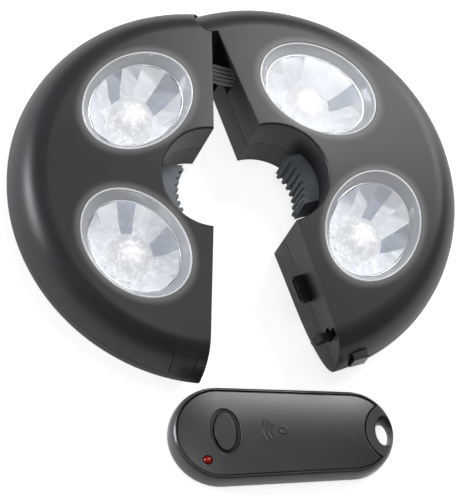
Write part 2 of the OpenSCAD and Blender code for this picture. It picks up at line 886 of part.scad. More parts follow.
// Raised sign of three waves spreading from a ring
module wireless_mark() {
    low = remote_h - 0.2;
    difference() {
        rod(icon_at, 2.4, [low, low + 0.6]);
        rod(icon_at, 1.3, [low - 1, low + 1]);
    }
    for (r = [5.9, 8.4, 10.9]) translate([icon_at[0], icon_at[1], low])
        rotate([0, 0, 147]) rotate_extrude(angle = 66) translate([r - 0.45, 0]) square([0.9, 0.6]);
}

module remote_face_plate() {
    color(dark_shell) remote_pose() difference() {
        union() {
            translate([0, 0, plate_z]) linear_extrude(height = remote_h - plate_z) face_outline();
            wireless_mark();
            for (p = [[12, 15], [12, -15], [60, 12], [60, -12]]) rod(p, 1.8, [board_z + 1, plate_z + eps]);
        }
        oval_hole(button_at, dish_half, [remote_h - 0.9, remote_h + 1]);
        oval_hole(button_at, button_half + [0.8, 0.8], [plate_z - 1, remote_h + 1]);
        rod(led_at, 2.6, [plate_z - 1, remote_h + 1]);
    }
}

module remote_button() {
    color(black) remote_pose() {
        oval_hole(button_at, button_half, [plate_z - 0.5, remote_h - 0.1]);
        oval_hole(button_at, button_half + [1.3, 1.3], [plate_z - 1.1, plate_z - 0.2]);
    }
}

module remote_led() {
    low = board_z + 1;
    dome = remote_h - 1.6;
    color([0.8, 0.05, 0.05]) remote_pose() translate(led_at)
        rotate_extrude() polygon(concat([[0, low], [2.3, low]], arc([0, dome], 2.3, 2.3, 0, 90)));
}

module remote_board() {
    color(board_green) remote_pose() difference() {
        slab([-17.5, remote_l + 1], [-15.5, 15.5], [board_z, board_z + 1]);
        for (p = remote_posts) rod(p, 0.9, [board_z - 1, board_z + 2]);
    }
}

module remote_switch() {
    color(black) remote_pose() translate([button_at[0], button_at[1], board_z + 1]) {
        slab([-3, 3], [-3, 3], [0, plate_z - board_z - 3.3]);
        cylinder(r = 1.7, h = plate_z - board_z - 1.2 - 1.1 - remote_press);
    }
}

module remote_cell() {
    color(steel) remote_pose() rod([cell_u, 0], coin_r, [1.8, 5]);
}

module remote_cell_clip() {
    color(steel) remote_pose() {
        slab([cell_u - 4, cell_u + 4], [-13, 13], [5.1, 5.6]);
        for (s = [-1, 1]) slab([cell_u - 4, cell_u + 4], s > 0 ? [12.4, 13] : [-13, -12.4], [5.1, board_z]);
    }
}

module remote_cell_door() {
    color(dark_shell) remote_pose() difference() {
        rod([cell_u, 0], coin_r + 1.8, [0, 1.6]);
        slab([cell_u - 6, cell_u + 6], [-1, 1], [-1, 0.8]);
    }
}

module remote_screws() {
    color(steel) remote_pose() for (p = remote_posts) difference() {
        union() {
            rod(p, 1.8, [0.4, 1.4]);
            rod(p, 0.85, [1.3, board_z + 1]);
        }
        slab([p[0] - 1.2, p[0] + 1.2], [p[1] - 0.25, p[1] + 0.25], [0, 0.9]);
    }
}

// ---------- pieces of the two halves ----------

module upper_lamp() {
    at_lamp(180 - lamp_angle) children();
}

module lower_lamp() {
    at_lamp(180 + lamp_angle) children();
}

module upper_left_lens() {
    color(clear) upper_lamp() lens();
}

module upper_left_reflector() {
    color(bright) upper_lamp() reflector();
}

module upper_left_led_board() {
    color(board_green) upper_lamp() led_board();
}

module upper_left_leds() {
    color(bright) upper_lamp() leds();
}

module lower_left_lens() {
    color(clear) lower_lamp() lens();
}

module lower_left_reflector() {
    color(bright) lower_lamp() reflector();
}

module lower_left_led_board() {
    color(board_green) lower_lamp() led_board();
}

module lower_left_leds() {
    color(bright) lower_lamp() leds();
}

module left_cells() {
    color(steel) cells();
}

module left_contacts() {
    color(steel) contacts();
}

module left_battery_door() {
    color(base_shell) battery_door();
}

module left_door_screw() {
    color(steel) door_screw();
}

module left_cover_screws() {
    color(steel) cover_screws();
}

module left_grip_pad() {
    color(rubber) grip_pad(left_pad_reach);
}

module left_pad_carrier() {
    color(black) pad_carrier();
}

module left_pad_spring() {
    color(steel) pad_spring();
}

module upper_right_lens() {
    color(clear) right_side() upper_lamp() lens();
}

module upper_right_reflector() {
    color(bright) right_side() upper_lamp() reflector();
}

module upper_right_led_board() {
    color(board_green) right_side() upper_lamp() led_board();
}

module upper_right_leds() {
    color(bright) right_side() upper_lamp() leds();
}

module lower_right_lens() {
    color(clear) right_side() lower_lamp() lens();
}

module lower_right_reflector() {
    color(bright) right_side() lower_lamp() reflector();
}

module lower_right_led_board() {
    color(board_green) right_side() lower_lamp() led_board();
}

module lower_right_leds() {
    color(bright) right_side() lower_lamp() leds();
}

module right_cells() {
    color(steel) right_side() cells();
}

module right_contacts() {
    color(steel) right_side() contacts();
}

module right_battery_door() {
    color(base_shell) right_side() battery_door();
}

module right_door_screw() {
    color(steel) right_side() door_screw();
}

module right_cover_screws() {
    color(steel) right_side() cover_screws();
}

module right_grip_pad() {
    color(rubber) right_side() grip_pad(right_pad_reach);
}

module right_pad_carrier() {
    color(black) right_side() pad_carrier();
}

module right_pad_spring() {
    color(steel) right_side() pad_spring();
}

// ---------- the object ----------

left_base_cover();
left_front_cover();
upper_left_lens();
lower_left_lens();
upper_left_reflector();
lower_left_reflector();
upper_left_led_board();
lower_left_led_board();
upper_left_leds();
lower_left_leds();
left_cells();
left_contacts();
left_battery_door();
left_door_screw();
left_cover_screws();
left_grip_pad();
left_pad_carrier();
left_pad_spring();
main_board();
switch_body();
power_slider();
left_release_button();
left_button_spring();
hinge_pin();
hinge_cable();
right_base_cover();
right_front_cover();
upper_right_lens();
lower_right_lens();
upper_right_reflector();
lower_right_reflector();
upper_right_led_board();
lower_right_led_board();
upper_right_leds();
lower_right_leds();
right_cells();
right_contacts();
right_battery_door();
right_door_screw();
right_cover_screws();
right_grip_pad();
right_pad_carrier();
right_pad_spring();
locating_tab();
right_latch();
right_latch_spring();
terminal_block();
remote_base();
remote_face_plate();
remote_button();
remote_led();
remote_board();
remote_switch();
remote_cell();
remote_cell_clip();
remote_cell_door();
remote_screws();
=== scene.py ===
import json
import math
import bpy
import bmesh
from mathutils import Matrix, Vector


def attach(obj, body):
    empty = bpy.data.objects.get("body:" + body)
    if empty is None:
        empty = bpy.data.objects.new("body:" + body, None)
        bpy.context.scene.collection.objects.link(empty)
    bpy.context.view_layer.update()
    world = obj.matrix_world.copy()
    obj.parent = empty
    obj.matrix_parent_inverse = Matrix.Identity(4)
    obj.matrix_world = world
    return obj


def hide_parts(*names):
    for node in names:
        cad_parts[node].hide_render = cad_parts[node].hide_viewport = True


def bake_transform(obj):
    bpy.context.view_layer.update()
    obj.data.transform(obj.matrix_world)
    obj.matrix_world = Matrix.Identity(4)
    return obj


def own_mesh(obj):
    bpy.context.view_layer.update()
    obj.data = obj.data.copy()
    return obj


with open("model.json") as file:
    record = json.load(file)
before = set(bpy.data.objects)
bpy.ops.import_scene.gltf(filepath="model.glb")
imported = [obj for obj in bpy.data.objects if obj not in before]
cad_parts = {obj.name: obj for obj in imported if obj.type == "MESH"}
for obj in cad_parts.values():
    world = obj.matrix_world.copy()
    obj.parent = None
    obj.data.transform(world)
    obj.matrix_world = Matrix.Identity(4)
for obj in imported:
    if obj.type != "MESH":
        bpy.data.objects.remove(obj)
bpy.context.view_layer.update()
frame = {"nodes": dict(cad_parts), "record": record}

nodes = frame["nodes"]
slot_of = {s["node"]: s["material_slot"] for s in frame["record"]["subparts"]}
body_of = {n: b for b, names in frame["record"]["behaviour"]["bodies"].items() for n in names}
MM = 0.001

# ---- sizes of the part that the finer pieces repeat, in mm and degrees ----
BORE_R = 28.0
FRONT_H, SHOULDER_H, SHOULDER_R = 47.0, 42.0, 88.0
WAIST_H, BACK_FLAT_R = 17.0, 60.0
CUT_X = -0.15
LAMP_R, LAMP_ANGLE = 58.0, 45.0
LENS = (26.2, 33.6)
LENS_GAP = 0.25
RIM = (22.0, 27.8)
RIM_DEPTH, BOWL_DEPTH, NECK_R = 7.0, 19.0, 13.5
HINGE_Y, OPEN_ANGLE = 96.0, 21.2
DOME_H = 12.0
OVAL_SIDES = 128
ROLL_SIDES = 10
PANELS, PANEL_COLUMNS, PANEL_FLATNESS = 13, 4, 0.75
REMOTE_AT, REMOTE_TURN = (12.5, -130.0), 6.2
REMOTE_L, REMOTE_R, REMOTE_H = 72.0, (26.5, 23.5), 13.0
BUTTON_AT, DISH, CROWN = (2.6, 0.6), (8.4, 12.8), 1.2
SLOPE = math.atan((FRONT_H - SHOULDER_H) / (SHOULDER_R - BORE_R))


# ---- camera: the photograph's direction, seen from far away ----
def make_camera():
    data = bpy.data.cameras.new("camera")
    data.sensor_width = 36.0
    data.lens = 336.68
    data.clip_end = 20
    cam = bpy.data.objects.new("camera", data)
    bpy.context.scene.collection.objects.link(cam)
    cam.location = (-0.54988110, -1.00658934, 2.19601359)
    cam.rotation_euler = [math.radians(a) for a in (23.5222829, -14.5694769, 0.00828137)]
    bpy.context.scene.camera = cam


# ---- materials ----
# How much lighter a rubbed edge is than its surface
WORN = 2.6


class Tree:
    """A material's nodes, with short calls to add and join them."""

    def __init__(self, name):
        self.material = bpy.data.materials.new(name)
        self.material.use_nodes = True
        self.tree = self.material.node_tree
        self.tree.nodes.clear()
        self.out = self.add("ShaderNodeOutputMaterial")

    def add(self, kind, inputs=None, **settings):
        n = self.tree.nodes.new(kind)
        for key, value in settings.items():
            setattr(n, key, value)
        for key, value in (inputs or {}).items():
            n.inputs[key].default_value = value
        return n

    def join(self, a, out, b, into):
        self.tree.links.new(a.outputs[out], b.inputs[into])


def two_tones(tree, color, spread, low=0.3, high=0.7):
    ramp = tree.add("ShaderNodeValToRGB")
    ends = ramp.color_ramp.elements
    ends[0].position, ends[1].position = low, high
    ends[0].color = [c * (1 - spread) for c in color] + [1]
    ends[1].color = [min(1, c * (1 + spread)) for c in color] + [1]
    return ramp


def moulded(name, color, rough, grain=0.05, grain_scale=2200.0, mottle=0.08, metallic=0.0,
            coat=0.0, edge=0.0, specular=0.5, painted_glow=0.0):
    """Moulded plastic, rubber or metal: fine grain, slow change in tone and gloss, rubbed edges, and where
    asked a white emission that paints a glow onto the surface.
    """
    t = Tree(name)
    shader = t.add("ShaderNodeBsdfPrincipled", {
        "Metallic": metallic, "Coat Weight": coat, "Coat Roughness": 0.12,
        "Specular IOR Level": specular, "Emission Strength": painted_glow})
    place = t.add("ShaderNodeTexCoord")
    slow = t.add("ShaderNodeTexNoise", {"Scale": 35.0, "Detail": 3.0})
    fine = t.add("ShaderNodeTexNoise", {"Scale": grain_scale, "Detail": 2.0})
    ramp = two_tones(t, color, mottle)
    gloss = t.add("ShaderNodeMapRange", {"To Min": rough - 0.04, "To Max": rough + 0.04})
    bump = t.add("ShaderNodeBump", {"Strength": grain, "Distance": 0.0002})
    t.join(place, "Object", slow, "Vector")
    t.join(place, "Object", fine, "Vector")
    t.join(slow, "Fac", ramp, "Fac")
    t.join(slow, "Fac", gloss, "Value")
    t.join(gloss, "Result", shader, "Roughness")
    t.join(fine, "Fac", bump, "Height")
    t.join(bump, "Normal", shader, "Normal")
    if edge:
        round_edge = t.add("ShaderNodeBevel", {"Radius": 0.0006}, samples=4)
        plain = t.add("ShaderNodeNewGeometry")
        dot = t.add("ShaderNodeVectorMath", operation="DOT_PRODUCT")
        rubbed = t.add("ShaderNodeMapRange", {"From Min": 0.99, "From Max": 0.85, "To Max": edge})
        mix = t.add("ShaderNodeMix", data_type="RGBA")
        mix.inputs["B"].default_value = [min(1, c * WORN) for c in color] + [1]
        t.join(round_edge, "Normal", dot, 0)
        t.join(plain, "Normal", dot, 1)
        t.join(dot, "Value", rubbed, "Value")
        t.join(rubbed, "Result", mix, "Factor")
        t.join(ramp, "Color", mix, "A")
        t.join(round_edge, "Normal", bump, "Normal")
        t.tree.links.new(mix.outputs["Result"], shader.inputs["Base Color"])
    else:
        t.join(ramp, "Color", shader, "Base Color")
    # painted glow: white emission on a surface that is no lamp
    if painted_glow:
        shader.inputs["Emission Color"].default_value = (1, 1, 1, 1)
    t.join(shader, "BSDF", t.out, "Surface")
    return t.material


def glowing(name):
    """Moulded light cover over the diodes: a hot middle that fades into crazed white plastic."""
    t = Tree(name)
    shader = t.add("ShaderNodeBsdfPrincipled", {"Base Color": (0.8, 0.81, 0.82, 1), "Roughness": 0.25})
    place = t.add("ShaderNodeTexCoord")
    ball = t.add("ShaderNodeTexGradient", gradient_type="SPHERICAL")
    centred = t.add("ShaderNodeMapping", {"Scale": (95, 95, 95), "Location": (0, 0, -1.05)})
    warp = t.add("ShaderNodeTexNoise", {"Scale": 300.0, "Detail": 2.0})
    cells = t.add("ShaderNodeTexVoronoi", {"Scale": 420.0, "Smoothness": 0.25}, feature="SMOOTH_F1")
    shift = t.add("ShaderNodeMix", {"Factor": 0.004}, data_type="VECTOR")
    power = t.add("ShaderNodeMapRange", {"From Min": 0.2, "To Min": 0.52, "To Max": 1.15})
    tone = t.add("ShaderNodeMapRange", {"From Max": 0.6, "To Min": 1.3, "To Max": 0.62})
    both = t.add("ShaderNodeMath", operation="MULTIPLY")
    bump = t.add("ShaderNodeBump", {"Strength": 0.5, "Distance": 0.0005})
    t.join(place, "Object", centred, "Vector")
    t.join(centred, "Vector", ball, "Vector")
    t.join(place, "Object", warp, "Vector")
    t.tree.links.new(place.outputs["Object"], shift.inputs[4])
    t.tree.links.new(warp.outputs["Color"], shift.inputs[5])
    t.tree.links.new(shift.outputs[1], cells.inputs["Vector"])
    t.join(ball, "Fac", power, "Value")
    t.join(cells, "Distance", tone, "Value")
    t.join(cells, "Distance", bump, "Height")
    t.join(bump, "Normal", shader, "Normal")
    t.join(power, "Result", both, 0)
    t.join(tone, "Result", both, 1)
    t.join(both, "Value", shader, "Emission Strength")
    shader.inputs["Emission Color"].default_value = (0.97, 0.98, 1.0, 1)
    t.join(shader, "BSDF", t.out, "Surface")
    return t.material


def clear_plastic(name, tint, alpha, rough):
    """Clear moulded cover with faint flow marks."""
    t = Tree(name)
    shader = t.add("ShaderNodeBsdfPrincipled", {"Base Color": (*tint, 1), "IOR": 1.49})
    place = t.add("ShaderNodeTexCoord")
    flow = t.add("ShaderNodeTexNoise", {"Scale": 60.0, "Detail": 2.0})
    veil = t.add("ShaderNodeMapRange", {"To Min": alpha * 0.8, "To Max": alpha * 1.2})
    gloss = t.add("ShaderNodeMapRange", {"To Min": rough * 0.7, "To Max": rough * 1.3})
    t.join(place, "Object", flow, "Vector")
    t.join(flow, "Fac", veil, "Value")
    t.join(flow, "Fac", gloss, "Value")
    t.join(veil, "Result", shader, "Alpha")
    t.join(gloss, "Result", shader, "Roughness")
    t.join(shader, "BSDF", t.out, "Surface")
    return t.material


mats = {
    "back_shell": moulded("back_shell", (0.062, 0.063, 0.069), 0.42, 0.2, edge=0.6),
    "front_shell": moulded("front_shell", (0.047, 0.047, 0.053), 0.34, 0.12, edge=0.5),
    # The three reflector materials are lit and shaded copies of one chrome: a plain one, a darker blue-grey
    # one with a painted dark reflection, and a white one with a painted reflection of the lamp's light; all
    # three carry a painted glow from emission.
    "reflector": moulded("reflector", (0.8, 0.82, 0.86), 0.1, 0.02, metallic=0.9, painted_glow=0.12),
    "reflector_painted_shade": moulded("reflector_painted_shade", (0.36, 0.41, 0.5), 0.12, 0.02,
                               metallic=0.85, painted_glow=0.12),
    "reflector_painted_glow": moulded("reflector_painted_glow", (0.82, 0.84, 0.88), 0.14, 0.02, metallic=0.85, painted_glow=0.2),
    "circuit_board": moulded("circuit_board", (0.02, 0.12, 0.05), 0.4),
    "led": glowing("led"),
    "cell": moulded("cell", (0.3, 0.3, 0.32), 0.35, metallic=1.0),
    "contact": moulded("contact", (0.6, 0.58, 0.55), 0.3, metallic=1.0),
    "fastener": moulded("fastener", (0.45, 0.45, 0.46), 0.3, metallic=1.0, edge=0.4),
    "grip_rubber": moulded("grip_rubber", (0.27, 0.31, 0.35), 0.5, 0.5, 900.0, 0.35, edge=0.9),
    "carrier_plastic": moulded("carrier_plastic", (0.02, 0.02, 0.022), 0.5),
    "spring_wire": moulded("spring_wire", (0.5, 0.5, 0.52), 0.3, metallic=1.0),
    "switch_plastic": moulded("switch_plastic", (0.015, 0.015, 0.017), 0.45, edge=0.4),
    "latch_plastic": moulded("latch_plastic", (0.026, 0.026, 0.029), 0.25, edge=0.6),
    "button_plastic": moulded("button_plastic", (0.042, 0.042, 0.046), 0.4, 0.15, edge=0.7),
    "cable_sheath": moulded("cable_sheath", (0.62, 0.62, 0.64), 0.4, 0.3, 900.0),
    "remote_shell": moulded("remote_shell", (0.085, 0.087, 0.092), 0.24, 0.05, edge=0.4, coat=0.5),
    "remote_face": moulded("remote_face", (0.03, 0.031, 0.035), 0.25, 0.1, edge=0.5, specular=1.0),
    # near-black material that paints shade into the sunk ring round the remote's button
    "remote_dish_painted_shade": moulded("remote_dish_painted_shade", (0.006, 0.006, 0.007), 0.3, 0.1),
    "remote_key": moulded("remote_key", (0.022, 0.022, 0.024), 0.27, 0.1, edge=0.5, specular=0.9),
    "red_lens": moulded("red_lens", (0.55, 0.008, 0.008), 0.08, coat=1.0),
    "lens": clear_plastic("lens", (0.95, 0.97, 1.0), 0.10, 0.05),
    # painted glow on the frosted band, and a painted highlight on the lens's rolled edge, both from emission
    "lens_band_painted_glow": moulded("lens_band_painted_glow", (0.52, 0.54, 0.59), 0.22, 0.02, coat=0.6, painted_glow=0.05),
    "lens_edge_painted_highlight": moulded("lens_edge_painted_highlight", (0.8, 0.82, 0.85), 0.1, 0.0, coat=1.0, painted_glow=0.3),
}


# ---- placing pieces ----
def finish_piece(o, node):
    """The piece takes the node's place: the node is hidden, the piece rides the node's body, and it takes
    the material of the node's slot if it has none.
    """
    if not o.data.materials:
        o.data.materials.append(mats[slot_of[node]])
    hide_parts(node)
    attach(o, body_of[node])
    return o


def object_from(bm, name, matrix=None):
    me = bpy.data.meshes.new(name)
    bm.to_mesh(me)
    bm.free()
    o = bpy.data.objects.new(name, me)
    if matrix is not None:
        o.matrix_world = matrix
    bpy.context.scene.collection.objects.link(o)
    return o


def cleaned(node):
    """Working copy of a CAD node's mesh, joined up and with its flat faces whole."""
    bm = bmesh.new()
    bm.from_mesh(nodes[node].data)
    bmesh.ops.remove_doubles(bm, verts=bm.verts, dist=2e-6)
    bmesh.ops.dissolve_limit(bm, angle_limit=math.radians(0.3), verts=bm.verts, edges=bm.edges)
    return bm


def shade(bm, sharp):
    for f in bm.faces:
        f.smooth = True
    for e in bm.edges:
        e.smooth = e.is_manifold and e.calc_face_angle() < math.radians(sharp)


def polished(node, sharp=35, bevel=0.0, segments=2, limit=40, reshape=None):
    """The node's own shape with rounded edges and smooth curved faces, reshaped first if asked."""
    bm = cleaned(node)
    if reshape:
        reshape(bm)
    shade(bm, sharp)
    o = object_from(bm, node + "_finished")
    if bevel:
        m = o.modifiers.new("edges", "BEVEL")
        m.width = bevel * MM
        m.segments = segments
        m.limit_method = "ANGLE"
        m.angle_limit = math.radians(limit)
        m.harden_normals = False
    w = o.modifiers.new("faces", "WEIGHTED_NORMAL")
    w.keep_sharp = True
    return finish_piece(o, node)


# ---- housings ----
def twin():
    """From the frame in which one half is drawn, on the left, to the open right half."""
    to_hinge = Matrix.Translation((0, HINGE_Y * MM, 0))
    turn = Matrix.Rotation(math.radians(OPEN_ANGLE), 4, "Z")
    return to_hinge @ turn @ to_hinge.inverted() @ Matrix.Diagonal((-1, 1, 1, 1))


def half_frame(side):
    return Matrix.Identity(4) if side == "left" else twin()


def outer_normal(p, slack=0.06):
    """Direction of the ring's outer surface at p in mm, in the frame of its half, or None inside."""
    r = math.hypot(p.x, p.y)
    if r < 1:
        return None
    low = p.z < WAIST_H
    centre, half = (BACK_FLAT_R, (45.0, 17.0)) if low else (SHOULDER_R, (17.0, 25.0))
    if r <= centre + 0.01:
        face_z = 0.0 if low else FRONT_H - (r - BORE_R) * math.tan(SLOPE)
        if abs(p.z - face_z) > slack:
            return None
        tilt = 0.0 if low else SLOPE
    else:
        u, v = (r - centre) / half[0], (p.z - WAIST_H) / half[1]
        if abs(math.hypot(u, v) - 1) > 0.2 * slack:
            return None
        tilt = math.atan2(u / half[0], abs(v) / half[1])
        if not low:
            tilt = max(tilt, SLOPE)
    out = Vector((p.x / r, p.y / r, 0)) * math.sin(tilt)
    return out + Vector((0, 0, -1 if low else 1)) * math.cos(tilt)


def cover(node, side):
    """A housing cover: rounded cut edges, and the true curved surface in its shading."""
    frame_in = half_frame(side)
    to_half = frame_in.inverted()
    bm = cleaned(node)

    def on_outside(face):
        return outer_normal(to_half @ face.calc_center_median() / MM) is not None

    def on_cut(face):
        return abs((to_half @ face.calc_center_median()).x / MM - CUT_X) < 0.02

    rims = [e for e in bm.edges if e.is_manifold
            and any(on_cut(f) for f in e.link_faces)
            and any(on_outside(f) and not on_cut(f) for f in e.link_faces)]
    bmesh.ops.bevel(bm, geom=rims, offset=0.5 * MM, segments=3, profile=0.5, affect="EDGES",
                    clamp_overlap=True)
    shade(bm, 32)
    o = object_from(bm, node + "_finished")
    me = o.data
    me.update()
    normals = [n.vector.copy() for n in me.corner_normals]
    turn = frame_in.to_3x3()
    for poly in me.polygons:
        centre = to_half @ poly.center / MM
        if outer_normal(centre) is None or abs(centre.x - CUT_X) < 0.02:
            continue
        if (turn @ outer_normal(centre)).dot(poly.normal) < 0.9:
            continue
        for li in poly.loop_indices:
            p = to_half @ me.vertices[me.loops[li].vertex_index].co / MM
            n = outer_normal(p, 0.4)
            if n is not None:
                normals[li] = (turn @ n).normalized()
    me.normals_split_custom_set(normals)
    return finish_piece(o, node)


# ---- remote control ----
def remote_frame():
    turn = Matrix.Rotation(math.radians(REMOTE_TURN), 4, "Z")
    return Matrix.Translation((REMOTE_AT[0] * MM, REMOTE_AT[1] * MM, 0)) @ turn


def crowned(bm):
    """Gives the face plate its slight swell, and gives the sunk ring round the button a near-black material
    as painted shade.
    """
    to_remote = remote_frame().inverted()
    bmesh.ops.transform(bm, matrix=to_remote, verts=bm.verts)
    for axis, (low, high), step in ((0, (-27, 99), 3.0), (1, (-26, 26), 2.0)):
        for k in range(int((high - low) / step)):
            at, normal = [0, 0, 0], [0, 0, 0]
            at[axis], normal[axis] = (low + k * step) * MM, 1
            bmesh.ops.bisect_plane(bm, geom=bm.verts[:] + bm.edges[:] + bm.faces[:], dist=1e-6,
                                   plane_co=at, plane_no=normal)
    # painted shade: faces sunk in the dish round the button take the plate's second, near-black material
    for f in bm.faces:
        c = f.calc_center_median() / MM
        u, w = (c.x - BUTTON_AT[0]) / (DISH[0] - 0.2), (c.y - BUTTON_AT[1]) / (DISH[1] - 0.2)
        f.material_index = 1 if math.hypot(u, w) < 1 and c.z < REMOTE_H - 0.6 else 0
    for v in bm.verts:
        p = v.co / MM
        if p.z > REMOTE_H - 1.5:
            along = min(max(p.x, 0), REMOTE_L)
            half = REMOTE_R[0] + (REMOTE_R[1] - REMOTE_R[0]) * along / REMOTE_L
            v.co.z -= CROWN * MM * (math.hypot(p.x - along, p.y) / half) ** 2
    bmesh.ops.transform(bm, matrix=remote_frame(), verts=bm.verts)


def painted_lamp_halo(material, side):
    """Painted light: white emission in the front cover's material, strongest close round each oval and
    fading out, standing in for the glow of the lamps' edges on the cover.
    """
    tree = material.node_tree
    nodes_of = {n.bl_idname: n for n in tree.nodes}
    place, shader = nodes_of["ShaderNodeTexCoord"], nodes_of["ShaderNodeBsdfPrincipled"]
    nearest = tree.nodes.new("ShaderNodeMath")
    nearest.operation = "MINIMUM"
    for k, level in enumerate(("upper", "lower")):
        at = lamp_frame(level, side)
        across = at.to_3x3() @ Vector((1, 0, 0))
        oval = tree.nodes.new("ShaderNodeMapping")
        oval.vector_type = "TEXTURE"
        oval.inputs["Location"].default_value = at.translation
        oval.inputs["Rotation"].default_value = (0, 0, math.atan2(across.y, across.x))
        oval.inputs["Scale"].default_value = (LENS[0] * MM, LENS[1] * MM, 10)
        far = tree.nodes.new("ShaderNodeVectorMath")
        far.operation = "LENGTH"
        tree.links.new(place.outputs["Object"], oval.inputs["Vector"])
        tree.links.new(oval.outputs["Vector"], far.inputs[0])
        tree.links.new(far.outputs["Value"], nearest.inputs[k])
    fade = tree.nodes.new("ShaderNodeMapRange")
    fade.interpolation_type = "SMOOTHERSTEP"
    for key, value in {"From Min": 0.97, "From Max": 1.17, "To Min": 0.11, "To Max": 0.0}.items():
        fade.inputs[key].default_value = value
    tree.links.new(nearest.outputs["Value"], fade.inputs["Value"])
    tree.links.new(fade.outputs["Result"], shader.inputs["Emission Strength"])
    shader.inputs["Emission Color"].default_value = (1, 1, 1, 1)


# ---- lamps ----
def lamp_frame(level, side):
    angle = 180 - LAMP_ANGLE if level == "upper" else 180 + LAMP_ANGLE
    face_z = FRONT_H - (LAMP_R - BORE_R) * math.tan(SLOPE)
    place = Matrix.Rotation(math.radians(angle), 4, "Z") @ Matrix.Translation((LAMP_R * MM, 0, face_z * MM))
    return half_frame(side) @ place @ Matrix.Rotation(SLOPE, 4, "Y")


def oval_ring(half, z):
    angles = [math.tau * i / OVAL_SIDES for i in range(OVAL_SIDES)]
    return [Vector((half[0] * math.cos(a), half[1] * math.sin(a), z)) * MM for a in angles]


def skin(bm, rings, loop=False):
    """Faces through a list of point rings; loop joins the last ring to the first."""
    rows = [[bm.verts.new(p) for p in ring] for ring in rings]
    n = len(rows[0])
    pairs = list(zip(rows, rows[1:])) + ([(rows[-1], rows[0])] if loop else [])
    for a, b in pairs:
        for i in range(n):
            bm.faces.new((a[i], a[(i + 1) % n], b[(i + 1) % n], b[i]))
    if not loop:
        bm.faces.new(list(reversed(rows[0])))
        bm.faces.new(rows[-1])


def baked(bm, name, matrix, sharp=40):
    """Object with its points already in the row frame, and faces that look outwards."""
    bmesh.ops.transform(bm, matrix=matrix, verts=bm.verts)
    bmesh.ops.recalc_face_normals(bm, faces=bm.faces)
    shade(bm, sharp)
    return object_from(bm, name)


def rolled(centre, half):
    """Section of a rolled edge: outward distance and height of each point."""
    angles = [math.tau * k / ROLL_SIDES for k in range(ROLL_SIDES)]
    return [(centre[0] + half[0] * math.cos(a), centre[1] + half[1] * math.sin(a)) for a in angles]


def shrunk(half, t):
    return (half[0] - t, half[1] - t)


def lens(level, side):
    """Clear flat cover with a rolled edge that carries a painted highlight, standing on a frosted tapering
    band with a faint painted glow.
    """
    at = lamp_frame(level, side)
    node = f"{level}_{side}_lens"
    edge = shrunk(LENS, LENS_GAP)
    clear = bmesh.new()
    profile = [(0.9, -2.1), (0.9, -0.75), (1.3, -0.5), (2.2, -0.42), (9.0, -0.4)]
    skin(clear, [oval_ring(shrunk(edge, t), z) for t, z in profile])
    top = baked(clear, node + "_cover", at)
    top.data.materials.append(mats["lens"])
    finish_piece(top, node)
    rim = bmesh.new()
    roll = rolled((0.45, -0.85), (-0.42, 0.42))
    skin(rim, [oval_ring(shrunk(edge, t), z) for t, z in roll], loop=True)
    roll_piece = baked(rim, node + "_edge", at, 80)
    roll_piece.data.materials.append(mats["lens_edge_painted_highlight"])
    band = bmesh.new()
    outer, inner = shrunk(edge, 0.7), (RIM[0] + 0.6, RIM[1] + 0.6)
    steps = [k / 8 for k in range(9)]
    front = [((outer[0] + (inner[0] - outer[0]) * s, outer[1] + (inner[1] - outer[1]) * s),
              -1.2 - (RIM_DEPTH - 1.6) * (s ** 0.8)) for s in steps]
    back = [((half[0] + 0.5, half[1] + 0.5), z - 0.4) for half, z in reversed(front)]
    skin(band, [oval_ring(half, z) for half, z in front + back], loop=True)
    band_piece = baked(band, node + "_band", at, 60)
    band_piece.data.materials.append(mats["lens_band_painted_glow"])
    for piece in (roll_piece, band_piece):
        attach(piece, body_of[node])


def bowl_half(t, full):
    return NECK_R + (full - NECK_R) * (1 - t) ** 0.7


def panel_angles(seed):
    """Uneven borders of the reflector's panels, in turns."""
    return [(k + 0.28 * math.sin(5.3 * k + seed)) / PANELS for k in range(PANELS)]


def painted_reflection_of_panel(direction, k):
    """Which painted reflection a panel gets: those towards the lower left are painted white as if mirroring
    the lamp's own light, the rest take lighter and darker painted reflections in turn.
    """
    angle = math.degrees(math.atan2(direction.y, direction.x)) % 360
    if 140 < angle < 345:
        return 2
    return (1, 0, 2, 1, 2, 0)[k % 6]


def on_oval(half, angle):
    return Vector((half[0] * math.cos(angle), half[1] * math.sin(angle)))


